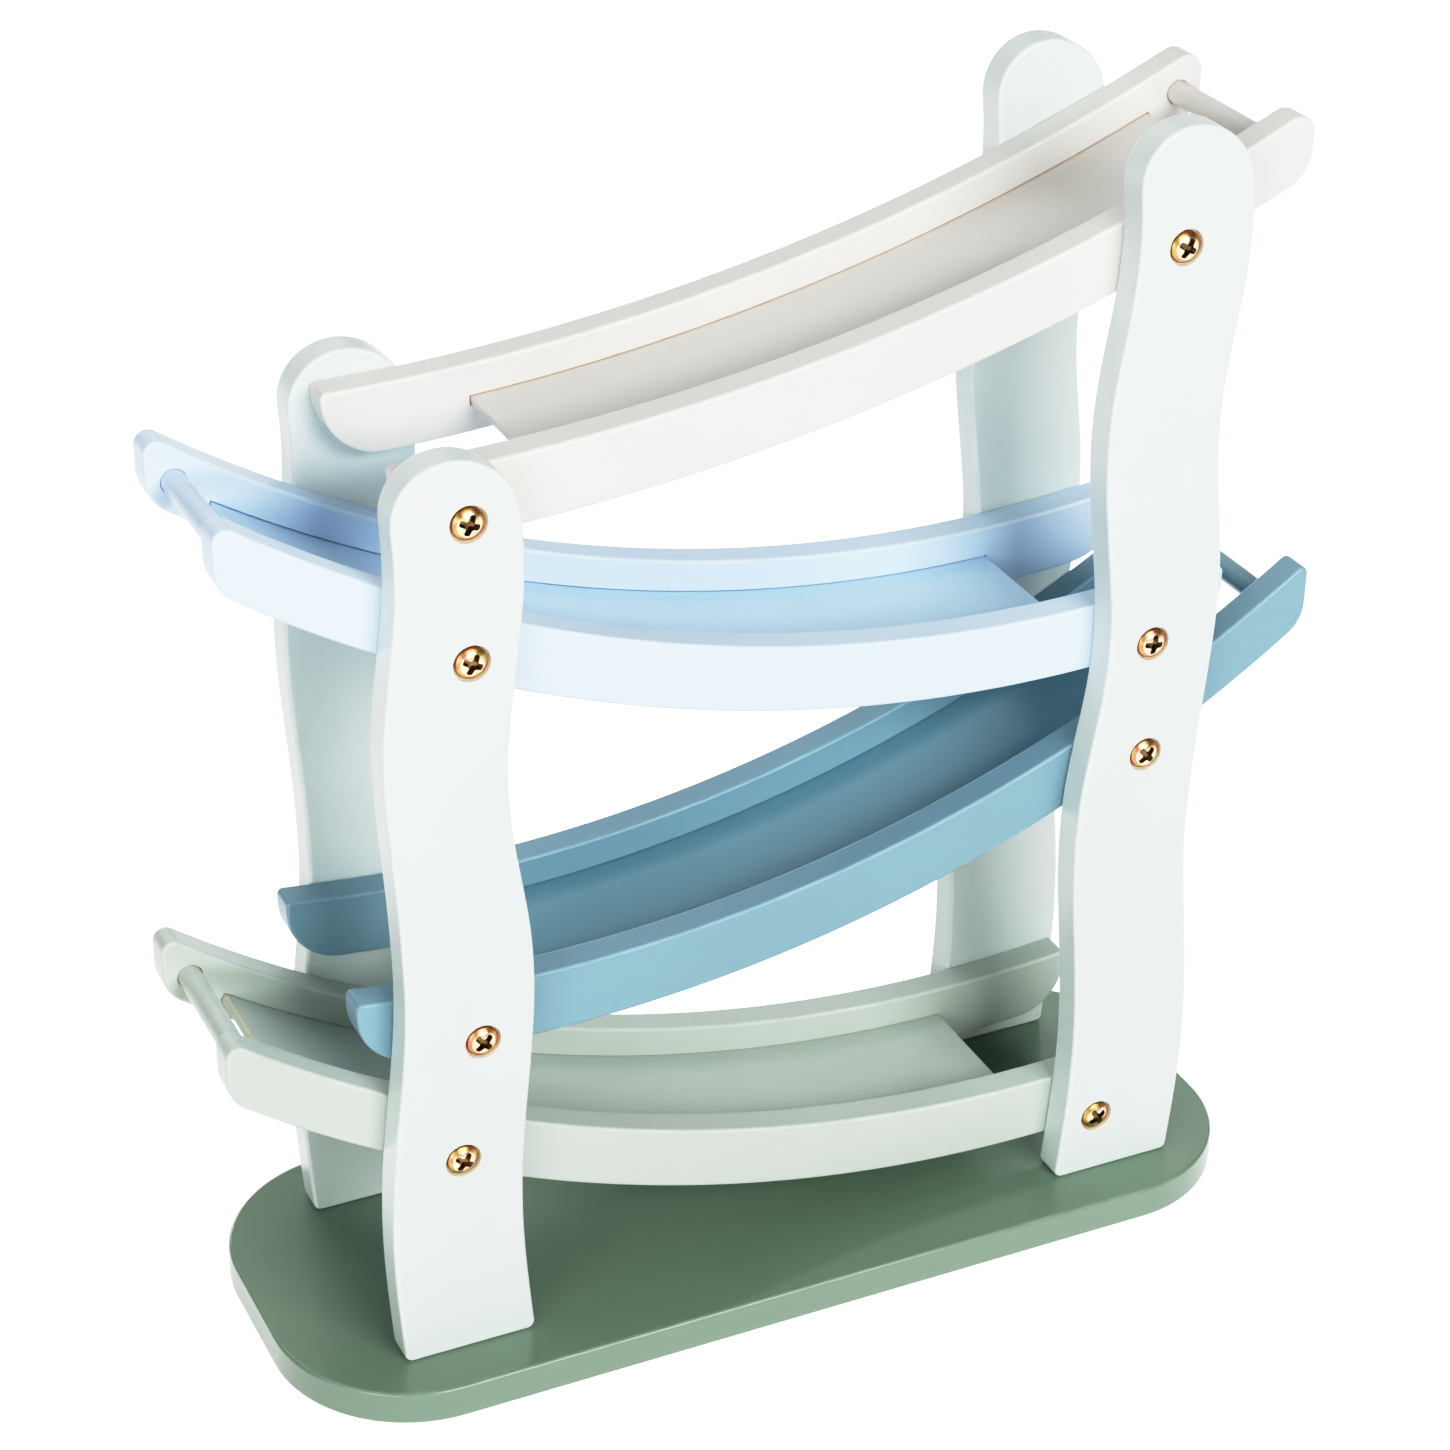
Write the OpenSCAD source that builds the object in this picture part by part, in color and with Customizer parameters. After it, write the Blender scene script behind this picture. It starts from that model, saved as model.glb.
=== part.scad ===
// Cascade car track. Four curved ramps hang between two pairs of wavy posts on a base board.
// A toy car rolls down a ramp, drops through the gap at its low end and lands on the next one.
// Each ramp is two rails, a thin floor let into grooves in them, and a dowel near the high end.
// Origin at the centre of the base's underside. X runs along the ramps, Y to the back, Z up.

/* [Base] */
// Thickness of the base board
base_t = 9.4; // [7:0.1:16]
// Base left free beyond the posts' feet at each end
base_end_margin = 24.2; // [14:0.1:40]
// Base left free beyond the posts at the front and the back
base_side_margin = 13.7; // [4:0.1:30]
// Radius of the base board's corners in plan
base_corner_r = 36.7; // [8:0.1:44]
// Radius of the base board's softened edges
base_edge_r = 1.2; // [0.5:0.1:3]

/* [Posts] */
// Distance between the axes of the left and the right posts
post_spacing = 183.2; // [160:0.1:210]
// How far the posts stand to the right of the base's middle
post_shift = 2.1; // [-8:0.1:8]
// Thickness of a post
post_t = 9; // [7:0.1:14]
// Width of a post at its foot
post_foot_w = 34.2; // [28:0.1:42]
// Width of a post where its round top begins
post_crown_w = 30.2; // [26:0.1:40]
// How far a post swings to each side of its axis
wave_swing = 2.2; // [0:0.1:4]
// Length of one full wave at the lowest crest
low_wave_l = 140; // [110:1:180]
// Length of one full wave at the top of the right posts
high_wave_l = 90; // [70:1:110]
// Height of the lowest point where a post swings furthest out
first_crest_z = 48; // [20:0.5:90]
// How much a post narrows at its waist
waist_in = 2; // [0:0.1:4]
// Height of a post's waist
waist_z = 158; // [120:1:180]
// Length of a post's waist
waist_l = 80; // [50:1:110]
// Radius of the corners of a post's foot
post_foot_r = 2; // [0.5:0.1:4]
// Height of the left posts above their top screw
left_crown = 15.6; // [12:0.1:40]
// Height of the right posts above their top screw
right_crown = 29.4; // [12:0.1:40]

/* [Rails] */
// Clear width of the track between the rails
track_w = 40.8; // [30:0.1:60]
// Thickness of a rail
rail_t = 8.4; // [7.5:0.1:14]
// Height of a rail, measured plumb
rail_h = 17.3; // [14:0.1:24]
// Distance of the screws from the posts' axes, towards the middle
screw_inset = 2.6; // [0:0.1:6]
// Distance of the screws below the rails' middle line
screw_sink = 0.8; // [0:0.1:2]
// Radius of the lower corner at a rail's high end
high_bottom_r = 10; // [1:0.1:11]
// Radius of the upper corner at a rail's low end
low_top_r = 1.5; // [0.5:0.1:3]
// Radius of the lower corner at a rail's low end
low_bottom_r = 15; // [1:0.1:15]

/* [Top ramp] */
// Radius of the ramp's curve
top_r = 544; // [420:1:800]
// How far the ramp sits to the right
top_shift = 1.8; // [-5:0.1:5]
// Clear height below the ramp at the left posts
top_left_clear = 16.7; // [10:0.1:30]
// Clear height below the ramp at the right posts
top_right_clear = 85.7; // [70:0.1:110]
// Reach of the rails past the screws at the high end
top_high_reach = 39.2; // [28:0.1:50]
// Radius of the rails' upper corner at the high end
top_high_r = 4.5; // [0.5:0.1:5]
// Reach of the rails past the screws at the low end
top_low_reach = 12.7; // [9:0.1:24]
// Length of the gap in the floor at the low end
top_drop = 36.2; // [32:0.1:50]

/* [Upper ramp] */
// Radius of the ramp's curve
upper_r = 354; // [300:1:500]
// How far the ramp sits to the right
upper_shift = 1.8; // [-5:0.1:5]
// Clear height below the ramp at the left posts
upper_left_clear = 83.4; // [70:0.1:110]
// Clear height below the ramp at the right posts
upper_right_clear = 13.9; // [11:0.1:30]
// Reach of the rails past the screws at the high end
upper_high_reach = 54.7; // [40:0.1:62]
// Radius of the rails' upper corner at the high end
upper_high_r = 3.2; // [0.5:0.1:5]
// Reach of the rails past the screws at the low end
upper_low_reach = 25; // [10:0.1:30]
// Length of the gap in the floor at the low end
upper_drop = 39.4; // [32:0.1:55]

/* [Lower ramp] */
// Radius of the ramp's curve
lower_r = 354; // [300:1:500]
// How far the ramp sits to the right
lower_shift = 2.4; // [-5:0.1:5]
// Clear height below the ramp at the left posts
lower_left_clear = 15.3; // [11:0.1:30]
// Clear height below the ramp at the right posts
lower_right_clear = 91.2; // [75:0.1:115]
// Reach of the rails past the screws at the high end
lower_high_reach = 50.2; // [40:0.1:62]
// Radius of the rails' upper corner at the high end
lower_high_r = 2; // [0.5:0.1:5]
// Reach of the rails past the screws at the low end
lower_low_reach = 27.8; // [10:0.1:32]
// Length of the gap in the floor at the low end
lower_drop = 38; // [32:0.1:55]

/* [Bottom ramp] */
// Radius of the ramp's curve
bottom_r = 354; // [300:1:500]
// How far the ramp sits to the right
bottom_shift = -3.3; // [-6:0.1:5]
// Clear height below the ramp at the left posts
bottom_left_clear = 48.4; // [40:0.1:70]
// Clear height below the ramp at the right posts
bottom_right_clear = 9.2; // [7:0.1:20]
// Reach of the rails past the screws at the high end
bottom_high_reach = 54; // [40:0.1:62]
// Radius of the rails' upper corner at the high end
bottom_high_r = 3; // [0.5:0.1:5]
// Reach of the rails past the screws at the low end
bottom_low_reach = 23.8; // [10:0.1:30]
// Length of the gap in the floor at the low end
bottom_drop = 39.5; // [32:0.1:55]

/* [Floors and dowels] */
// Thickness of a ramp's floor
floor_t = 2; // [1.5:0.1:3]
// Depth of the floor below the rails' top edge
floor_drop = 8.2; // [5:0.1:10]
// Depth of the groove that holds the floor's edge
groove_depth = 3; // [1.5:0.1:4]
// Distance of the floor's high end from the rails' end
floor_setback = 15; // [13:0.1:30]
// Diameter of a dowel
dowel_d = 6; // [4:0.1:8]
// Distance of a dowel's axis from the rails' high end
dowel_inset = 6.6; // [5:0.1:8]
// Depth of the blind hole that holds a dowel's end
dowel_depth = 5; // [3:0.1:6]

/* [Screws] */
// Diameter of a screw's shank
screw_d = 3.5; // [2.5:0.1:4]
// Wood left between a rail screw's tip and the floor's groove
tip_skin = 0.5; // [0.3:0.1:1.5]
// Diameter of a rail screw's head
head_d = 8; // [6:0.1:8.4]
// Height of a rail screw's head at its rim
head_rim_h = 1; // [0.8:0.1:2]
// Height of a rail screw's dome above the rim
dome_h = 1.5; // [0.6:0.1:2]
// Depth of a head's rim below the post's face
head_sink = 0.6; // [0.2:0.1:1.2]
// Length of a cross recess's arm, from tip to tip
cross_l = 5; // [3:0.1:6]
// Width of a cross recess's arm
cross_w = 1.3; // [0.6:0.1:1.6]
// Depth of a cross recess
cross_depth = 1.3; // [0.8:0.1:1.5]
// Length of a foot screw in its post
foot_bite = 10; // [8:0.5:12]
// Diameter of a foot screw's head
foot_head_d = 7; // [5:0.1:8]
// Distance between the two screws in a post's foot
foot_screw_spacing = 16; // [10:0.5:20]

/* [Clearances] */
// Clearance round a rail screw's head in its recess
head_fit = 0.5; // [0.2:0.1:1]
// Clearance round a floor's edge in its groove
floor_fit = 0.1; // [0.05:0.05:0.3]
// Clearance round a dowel in its hole
dowel_fit = 0.1; // [0.05:0.05:0.3]
// Clearance round a screw's shank in its hole
screw_fit = 0.1; // [0.05:0.05:0.3]
// Free depth past a screw's tip
tip_clear = 0.4; // [0.2:0.1:0.6]

/* [Hidden] */

// Sides: the front and the left are negative
sides = [-1, 1];
FRONT = sides[0];
BACK = sides[1];
LEFT = sides[0];
RIGHT = sides[1];
// Ramps, from the top down
ramps = [0, 1, 2, 3];
TOP = ramps[0];
UPPER = ramps[1];
LOWER = ramps[2];
BOTTOM = ramps[3];
high_side = [RIGHT, LEFT, RIGHT, LEFT];

ramp_r = [top_r, upper_r, lower_r, bottom_r];
ramp_shift = [top_shift, upper_shift, lower_shift, bottom_shift];
left_clear = [top_left_clear, upper_left_clear, lower_left_clear, bottom_left_clear];
right_clear = [top_right_clear, upper_right_clear, lower_right_clear, bottom_right_clear];
high_reach = [top_high_reach, upper_high_reach, lower_high_reach, bottom_high_reach];
high_top_r = [top_high_r, upper_high_r, lower_high_r, bottom_high_r];
low_reach = [top_low_reach, upper_low_reach, lower_low_reach, bottom_low_reach];
drop = [top_drop, upper_drop, lower_drop, bottom_drop];

base_colour = [0.37, 0.49, 0.40];
post_colour = [0.91, 0.95, 0.95];
ramp_colour = [[0.94, 0.94, 0.92], [0.78, 0.88, 0.97], [0.42, 0.63, 0.73], [0.78, 0.83, 0.77]];
zinc_colour = [0.80, 0.65, 0.38];
steel_colour = [0.70, 0.70, 0.70];

// Distances from the track's middle to the faces of the rails and the posts
rail_in = track_w / 2;
rail_out = rail_in + rail_t;
post_out = rail_out + post_t;
post_mid = rail_out + post_t / 2;
recess_d = head_d + 2 * head_fit;
recess_depth = head_rim_h + head_sink;
head_h = head_rim_h + dome_h;
screw_seat = post_out - recess_depth;
rail_screw_l = screw_seat - rail_in - groove_depth - tip_skin - tip_clear;
foot_screw_l = base_t + foot_bite;
base_l = post_spacing + post_foot_w + 2 * base_end_margin;
base_w = 2 * (post_out + base_side_margin);
// The low end's lower corner leaves a short plumb stretch of the end below its upper corner
end_flat = 0.8;
low_round = min(low_bottom_r, rail_h - low_top_r - end_flat);

// Overlap of a cutting shape past the face that it cuts
cut = 1;
// Segments of small rounds and of the rails' long arcs
$fn = 96;
arc_fn = 720;
// Height of the straight steps along a post's sides
wave_step = 4.5;
// Straight steps round a post's top and round a corner of its foot
crown_steps = 36;
foot_steps = 4;

function unit(v) = v / norm(v);

// Places of the rail screws, and the middle of the rails above them
function post_x(s) = post_shift + s * post_spacing / 2;
function clear_below(k, s) = s == LEFT ? left_clear[k] : right_clear[k];
function screw_x(k, s) = post_x(s) - s * screw_inset + ramp_shift[k];
function held_z(k, s) = clear_below(k, s)
    + (k == BOTTOM ? base_t + rail_h / 2 : held_z(k + 1, s) + rail_h);
function held_point(k, s) = [screw_x(k, s), held_z(k, s)];
function screw_z(k, s) = held_z(k, s) - screw_sink;

// A ramp's middle line is an arc through the points where the posts hold it. The top and the bottom
// edge of a rail are the same arc, moved up and down by half the rail's height.
function mid_centre(k) = let (
        a = held_point(k, LEFT),
        b = held_point(k, RIGHT),
        chord = b - a,
        rise = sqrt(ramp_r[k] ^ 2 - norm(chord) ^ 2 / 4)
    ) (a + b) / 2 + unit([-chord.y, chord.x]) * rise;
function top_centre(k) = mid_centre(k) + [0, rail_h / 2];
function bottom_centre(k) = mid_centre(k) - [0, rail_h / 2];
function mid_z(k, x) = mid_centre(k).y - sqrt(ramp_r[k] ^ 2 - (x - mid_centre(k).x) ^ 2);

// Places along a ramp
function high_x(k) = screw_x(k, high_side[k]) + high_side[k] * high_reach[k];
function low_x(k) = screw_x(k, -high_side[k]) - high_side[k] * low_reach[k];
function floor_high_x(k) = high_x(k) - high_side[k] * floor_setback;
function floor_low_x(k) = low_x(k) + high_side[k] * drop[k];
function dowel_x(k) = high_x(k) - high_side[k] * dowel_inset;

// Centre of the round that joins a rail's plumb end at x to its top or its bottom edge
function top_corner(k, x, s, r) = let (
        cx = x - s * r,
        c = top_centre(k)
    ) [cx, c.y - sqrt((ramp_r[k] + r) ^ 2 - (cx - c.x) ^ 2)];
function bottom_corner(k, x, s, r) = let (
        cx = x - s * r,
        c = bottom_centre(k)
    ) [cx, c.y - sqrt((ramp_r[k] - r) ^ 2 - (cx - c.x) ^ 2)];

// A post's middle line is a wave that grows shorter upwards, and left posts mirror right ones.
// The sides run up to where the round top begins, which leans the way that the wave goes on.
function crown_z(s) = screw_z(TOP, s) + (s == LEFT ? left_crown : right_crown) - post_crown_w / 2;
function wave_gain() = (1 / high_wave_l - 1 / low_wave_l) / (crown_z(RIGHT) - first_crest_z);
function waves(z) = let (
        up = z - first_crest_z
    ) up / low_wave_l + wave_gain() * up ^ 2 / 2;
function waves_per_mm(z) = 1 / low_wave_l + wave_gain() * (z - first_crest_z);
function post_mid_x(s, z) = post_x(s) + s * wave_swing * cos(360 * waves(z));
function post_lean(s, z) = -s * wave_swing * sin(360 * waves(z)) * 2 * PI * waves_per_mm(z);
function waist(z) = let (
        away = min(abs(z - waist_z) / waist_l, 0.5)
    ) waist_in * (1 + cos(360 * away)) / 2;
function half_width(s, z) = let (
        part = (z - base_t) / (crown_z(s) - base_t)
    ) (post_foot_w + (post_crown_w - post_foot_w) * part - waist(z)) / 2;
function edge_point(s, side, z) = [post_mid_x(s, z) + side * half_width(s, z), z];
function crown_point(s, turn) = let (
        r = post_crown_w / 2,
        z = crown_z(s)
    ) [post_mid_x(s, z) + r * (cos(turn) + post_lean(s, z) * sin(turn)), z + r * sin(turn)];
function foot_point(s, side, turn) = let (
        z = base_t + post_foot_r
    ) edge_point(s, side, z) + post_foot_r * [side * (cos(turn) - 1), -sin(turn)];

// Stands a drawing in X and Z up and gives it depth in Y between two distances from the middle
module standing(side, near, far) {
    translate([0, side > 0 ? far : -near, 0])
        rotate([90, 0, 0])
            linear_extrude(far - near)
                children();
}

// Turns a shape's Z axis outwards, to the front or to the back
module facing(side) {
    rotate([-90 * side, 0, 0])
        children();
}

module rounded_rectangle(l, w, r) {
    square([l - 2 * r, w], center = true);
    square([l, w - 2 * r], center = true);
    for (x = sides, y = sides)
        translate([x * (l / 2 - r), y * (w / 2 - r)])
            circle(r);
}

// A bar along X with softened long edges
module soft_bar(l, w, t, edge_r) {
    rotate([90, 0, 90])
        linear_extrude(l, center = true)
            rounded_rectangle(w, t, edge_r);
}

// A round board with a softened rim
module soft_disc(r, t, edge_r) {
    rotate_extrude()
        intersection() {
            rounded_rectangle(2 * r, t, edge_r);
            translate([0, -t / 2])
                square([r, t]);
        }
}

// A board with round corners in plan and softened edges, lying on the ground
module soft_board(l, w, r, t, edge_r) {
    translate([0, 0, t / 2]) {
        soft_bar(l - 2 * r, w, t, edge_r);
        rotate([0, 0, 90])
            soft_bar(w - 2 * r, l, t, edge_r);
        for (x = sides, y = sides)
            translate([x * (l / 2 - r), y * (w / 2 - r), 0])
                soft_disc(r, t, edge_r);
    }
}

// What a round corner of radius r at c takes away, between two directions out of the rail
module corner_waste(c, r, out_a, out_b) {
    reach = 2 * rail_h;
    difference() {
        polygon([c, c + out_a * reach, c + (out_a + out_b) * reach, c + out_b * reach]);
        translate(c)
            circle(r);
    }
}

module end_waste(k, x, s, top_r, bottom_r) {
    top_c = top_corner(k, x, s, top_r);
    bottom_c = bottom_corner(k, x, s, bottom_r);
    corner_waste(top_c, top_r, unit(top_centre(k) - top_c), [s, 0]);
    corner_waste(bottom_c, bottom_r, unit(bottom_c - bottom_centre(k)), [s, 0]);
}

module rail_outline(k) {
    left_end = min(low_x(k), high_x(k));
    length = abs(high_x(k) - low_x(k));
    difference() {
        intersection() {
            translate(bottom_centre(k))
                circle(ramp_r[k], $fn = arc_fn);
            translate([left_end, 0])
                square([length, mid_centre(k).y]);
        }
        translate(top_centre(k))
            circle(ramp_r[k], $fn = arc_fn);
        end_waste(k, high_x(k), high_side[k], high_top_r[k], high_bottom_r);
        end_waste(k, low_x(k), -high_side[k], low_top_r, low_round);
    }
}

// Section of a ramp's floor, a bent strip round the rails' arc centre, made larger by gap
module floor_outline(k, gap) {
    r_in = ramp_r[k] + floor_drop - gap;
    r_out = ramp_r[k] + floor_drop + floor_t + gap;
    c = top_centre(k);
    left_x = min(floor_low_x(k), floor_high_x(k)) - gap;
    right_x = max(floor_low_x(k), floor_high_x(k)) + gap;
    left_turn = asin((left_x - c.x) / r_in);
    right_turn = asin((right_x - c.x) / r_in);
    far = 2 * r_out;
    translate(c)
        intersection() {
            difference() {
                circle(r_out, $fn = arc_fn);
                circle(r_in, $fn = arc_fn);
            }
            polygon([
                [0, 0],
                far * [sin(left_turn), -cos(left_turn)],
                far * [sin(right_turn), -cos(right_turn)]
            ]);
        }
}

// Goes round a post from the right end of its foot, over the top, to the left end
module post_outline(s) {
    start = base_t + post_foot_r;
    height = crown_z(s) - start;
    steps = ceil(height / wave_step);
    polygon(concat(
        [for (i = [foot_steps : -1 : 1]) foot_point(s, RIGHT, 90 * i / foot_steps)],
        [for (i = [0 : steps]) edge_point(s, RIGHT, start + height * i / steps)],
        [for (i = [1 : crown_steps - 1]) crown_point(s, 180 * i / crown_steps)],
        [for (i = [steps : -1 : 0]) edge_point(s, LEFT, start + height * i / steps)],
        [for (i = [1 : foot_steps]) foot_point(s, LEFT, 90 * i / foot_steps)]
    ));
}

// Puts its children at a rail screw's seat, with Z out of the post
module at_rail_screw(k, s, side) {
    translate([screw_x(k, s), side * screw_seat, screw_z(k, s)])
        facing(side)
            children();
}

// Puts its children under a post's foot, at the base's underside
module at_foot_screws(s, side) {
    for (x = sides)
        translate([post_mid_x(s, base_t) + x * foot_screw_spacing / 2, side * post_mid, 0])
            children();
}

module pan_screw() {
    dome_r = ((head_d / 2) ^ 2 + dome_h ^ 2) / (2 * dome_h);
    difference() {
        union() {
            intersection() {
                cylinder(d = head_d, h = head_h);
                translate([0, 0, head_h - dome_r])
                    sphere(dome_r);
            }
            translate([0, 0, -rail_screw_l])
                cylinder(d = screw_d, h = rail_screw_l + head_rim_h / 2);
        }
        for (turn = [0, 90])
            rotate([0, 0, turn])
                translate([-cross_l / 2, -cross_w / 2, head_h - cross_depth])
                    cube([cross_l, cross_w, cross_depth + cut]);
    }
}

// The hole for a rail screw: recess, shank and tip
module rail_screw_hole() {
    cylinder(d = recess_d, h = recess_depth + cut);
    translate([0, 0, -rail_screw_l - tip_clear])
        cylinder(d = screw_d + 2 * screw_fit, h = rail_screw_l + tip_clear + cut);
}

module foot_screw_head() {
    cylinder(d1 = foot_head_d, d2 = screw_d, h = (foot_head_d - screw_d) / 2);
}

module foot_screw() {
    foot_screw_head();
    cylinder(d = screw_d, h = foot_screw_l);
}

module foot_screw_hole() {
    foot_screw_head();
    translate([0, 0, -cut])
        cylinder(d = screw_d + 2 * screw_fit, h = foot_screw_l + tip_clear + cut);
}

module base_plate() {
    color(base_colour)
        difference() {
            soft_board(base_l, base_w, base_corner_r, base_t, base_edge_r);
            for (s = sides, side = sides)
                at_foot_screws(s, side)
                    foot_screw_hole();
        }
}

module post(s, side) {
    color(post_colour)
        difference() {
            standing(side, rail_out, post_out)
                post_outline(s);
            for (k = ramps)
                at_rail_screw(k, s, side)
                    rail_screw_hole();
            at_foot_screws(s, side)
                foot_screw_hole();
        }
}

module rail(k, side) {
    color(ramp_colour[k])
        difference() {
            standing(side, rail_in, rail_out)
                rail_outline(k);
            standing(side, rail_in - cut, rail_in + groove_depth)
                floor_outline(k, floor_fit);
            translate([dowel_x(k), side * (rail_in + dowel_depth), mid_z(k, dowel_x(k))])
                facing(-side)
                    cylinder(d = dowel_d + 2 * dowel_fit, h = dowel_depth + cut);
            for (s = sides)
                at_rail_screw(k, s, side)
                    rail_screw_hole();
        }
}

module floor_panel(k) {
    edge = rail_in + groove_depth;
    color(ramp_colour[k])
        standing(BACK, -edge, edge)
            floor_outline(k, 0);
}

module dowel(k) {
    end = rail_in + dowel_depth;
    color(ramp_colour[k])
        translate([dowel_x(k), -end, mid_z(k, dowel_x(k))])
            facing(BACK)
                cylinder(d = dowel_d, h = 2 * end);
}

module rail_screws() {
    color(zinc_colour)
        for (k = ramps, s = sides, side = sides)
            at_rail_screw(k, s, side)
                pan_screw();
}

module foot_screws() {
    color(steel_colour)
        for (s = sides, side = sides)
            at_foot_screws(s, side)
                foot_screw();
}

base_plate();
post(LEFT, FRONT);  // front_left_post
post(RIGHT, FRONT);  // front_right_post
post(LEFT, BACK);  // back_left_post
post(RIGHT, BACK);  // back_right_post
rail(TOP, FRONT);  // top_front_rail
rail(TOP, BACK);  // top_back_rail
floor_panel(TOP);  // top_floor
dowel(TOP);  // top_dowel
rail(UPPER, FRONT);  // upper_front_rail
rail(UPPER, BACK);  // upper_back_rail
floor_panel(UPPER);  // upper_floor
dowel(UPPER);  // upper_dowel
rail(LOWER, FRONT);  // lower_front_rail
rail(LOWER, BACK);  // lower_back_rail
floor_panel(LOWER);  // lower_floor
dowel(LOWER);  // lower_dowel
rail(BOTTOM, FRONT);  // bottom_front_rail
rail(BOTTOM, BACK);  // bottom_back_rail
floor_panel(BOTTOM);  // bottom_floor
dowel(BOTTOM);  // bottom_dowel
rail_screws();
foot_screws();
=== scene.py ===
"""Looks of a wooden cascade car track: softened painted boards, plated screws, studio light and camera."""

import math
import random

import bmesh
import bpy
from mathutils import Matrix, Vector
from mathutils.geometry import delaunay_2d_cdt, normal as flat_normal


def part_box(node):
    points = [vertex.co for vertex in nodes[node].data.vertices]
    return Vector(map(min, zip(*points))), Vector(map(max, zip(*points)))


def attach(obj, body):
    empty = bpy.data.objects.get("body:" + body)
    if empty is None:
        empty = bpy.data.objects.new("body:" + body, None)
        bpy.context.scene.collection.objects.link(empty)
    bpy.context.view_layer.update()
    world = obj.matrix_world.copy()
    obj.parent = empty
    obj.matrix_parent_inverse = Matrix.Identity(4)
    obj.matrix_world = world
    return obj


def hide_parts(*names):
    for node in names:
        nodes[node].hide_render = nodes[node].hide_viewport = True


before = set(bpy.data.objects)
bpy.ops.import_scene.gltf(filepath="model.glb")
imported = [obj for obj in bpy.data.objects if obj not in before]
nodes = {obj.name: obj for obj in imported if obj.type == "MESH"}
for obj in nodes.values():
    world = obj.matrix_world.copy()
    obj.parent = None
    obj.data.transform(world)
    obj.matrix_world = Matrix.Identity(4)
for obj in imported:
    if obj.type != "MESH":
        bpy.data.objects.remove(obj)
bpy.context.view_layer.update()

MM = 0.001
MM_PER_METRE = 1000
QUARTER_TURN = math.pi / 2
Y, Z = 1, 2
RAMPS = ("top", "upper", "lower", "bottom")
ENDS = ("left", "right")

# A piece's material slots: its outer paint, and a second material on its edge, pockets or bare faces: painted
# light on the base's edge and in the posts' recesses, bare wood on the rails and floors, dark as painted
# shade in the blue ramps' seams
OUTER, INNER = 0, 1


# Outlines, read from the flat faces of the CAD nodes

SAME_POINT = 1e-6           # metres
SAME_LEVEL = 2e-5           # metres
CORNER_TURN = 0.6           # radians: a sharper bend is a corner
CURVE_TURNS = (0.002, 0.3)  # radians: bends between the facets of a curve
EVEN_SIDES = (0.4, 2.5)     # length of a curve's facet against its neighbours
MITRE_LIMIT = 0.4           # keeps sharp corners of a moved outline from running far out


def area(loop):
    return sum(a.cross(b) for a, b in zip(loop, loop[1:] + loop[:1])) / 2


def flat_loops(node, axis, level):
    """Closed loops round a node's flat faces at one level along an axis, anticlockwise, largest first."""
    bm = bmesh.new()
    bm.from_mesh(nodes[node].data)
    bmesh.ops.remove_doubles(bm, verts=bm.verts, dist=SAME_POINT)
    uses = {}
    for face in bm.faces:
        if all(abs(v.co[axis] - level) < SAME_LEVEL for v in face.verts):
            for edge in face.edges:
                uses[edge] = uses.get(edge, 0) + 1
    rim = {edge: count for edge, count in uses.items() if count == 1}
    loops = []
    while rim:
        edge = next(iter(rim))
        del rim[edge]
        chain = [edge.verts[0], edge.verts[1]]
        while chain[-1] is not chain[0]:
            step = next(e for e in chain[-1].link_edges if e in rim)
            del rim[step]
            chain.append(step.other_vert(chain[-1]))
        loop = [Vector((v.co.x, v.co.z if axis == Y else v.co.y)) for v in chain[:-1]]
        loops.append(loop if area(loop) > 0 else loop[::-1])
    bm.free()
    return sorted(loops, key=lambda loop: -area(loop))


def centre_and_radius(loop):
    centre = sum(loop, Vector((0, 0))) / len(loop)
    return centre, sum((p - centre).length for p in loop) / len(loop)


def circle(centre, radius, count=48):
    turns = [2 * math.pi * i / count for i in range(count)]
    return [centre + radius * Vector((math.cos(t), math.sin(t))) for t in turns]


def turn_at(loop, i):
    a, b = loop[i] - loop[i - 1], loop[(i + 1) % len(loop)] - loop[i]
    return abs(math.atan2(a.cross(b), a.dot(b)))


def finer(loop, step):
    """Adds points to the bent stretches of a loop, on smooth curves through its own points."""
    n = len(loop)
    sides = [(loop[(i + 1) % n] - loop[i]).length for i in range(n)]
    tangents = []
    for i in range(n):
        before = (loop[i] - loop[i - 1]) / sides[i - 1]
        after = (loop[(i + 1) % n] - loop[i]) / sides[i]
        tangents.append((before / sides[i - 1] + after / sides[i]).normalized())
    made = []
    for i in range(n):
        j = (i + 1) % n
        made.append(loop[i])
        bent = all(CURVE_TURNS[0] < turn_at(loop, k) < CURVE_TURNS[1] for k in (i, j))
        even = all(EVEN_SIDES[0] < sides[i] / sides[k] < EVEN_SIDES[1] for k in (i - 1, j))
        count = math.ceil(sides[i] / step) if bent and even else 1
        for m in range(1, count):
            t = m / count
            between = (2 * t ** 3 - 3 * t ** 2 + 1) * loop[i] + (3 * t ** 2 - 2 * t ** 3) * loop[j]
            bulge = (t ** 3 - 2 * t ** 2 + t) * tangents[i] + (t ** 3 - t ** 2) * tangents[j]
            made.append(between + sides[i] * bulge)
    return made


def side_normals(loop):
    """The outward normal of each side, the first being the one from the first point to the second."""
    normals = []
    for a, b in zip(loop, loop[1:] + loop[:1]):
        along = (b - a).normalized()
        normals.append(Vector((along.y, -along.x)))
    return normals


def outward(loop):
    """For each point, the outward normals of the sides before and after it, shared where the bend is soft."""
    sides = side_normals(loop)
    pairs = []
    for i, after in enumerate(sides):
        before = sides[i - 1]
        if turn_at(loop, i) < CORNER_TURN:
            before = after = (before + after).normalized()
        pairs.append((before, after))
    return pairs


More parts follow.
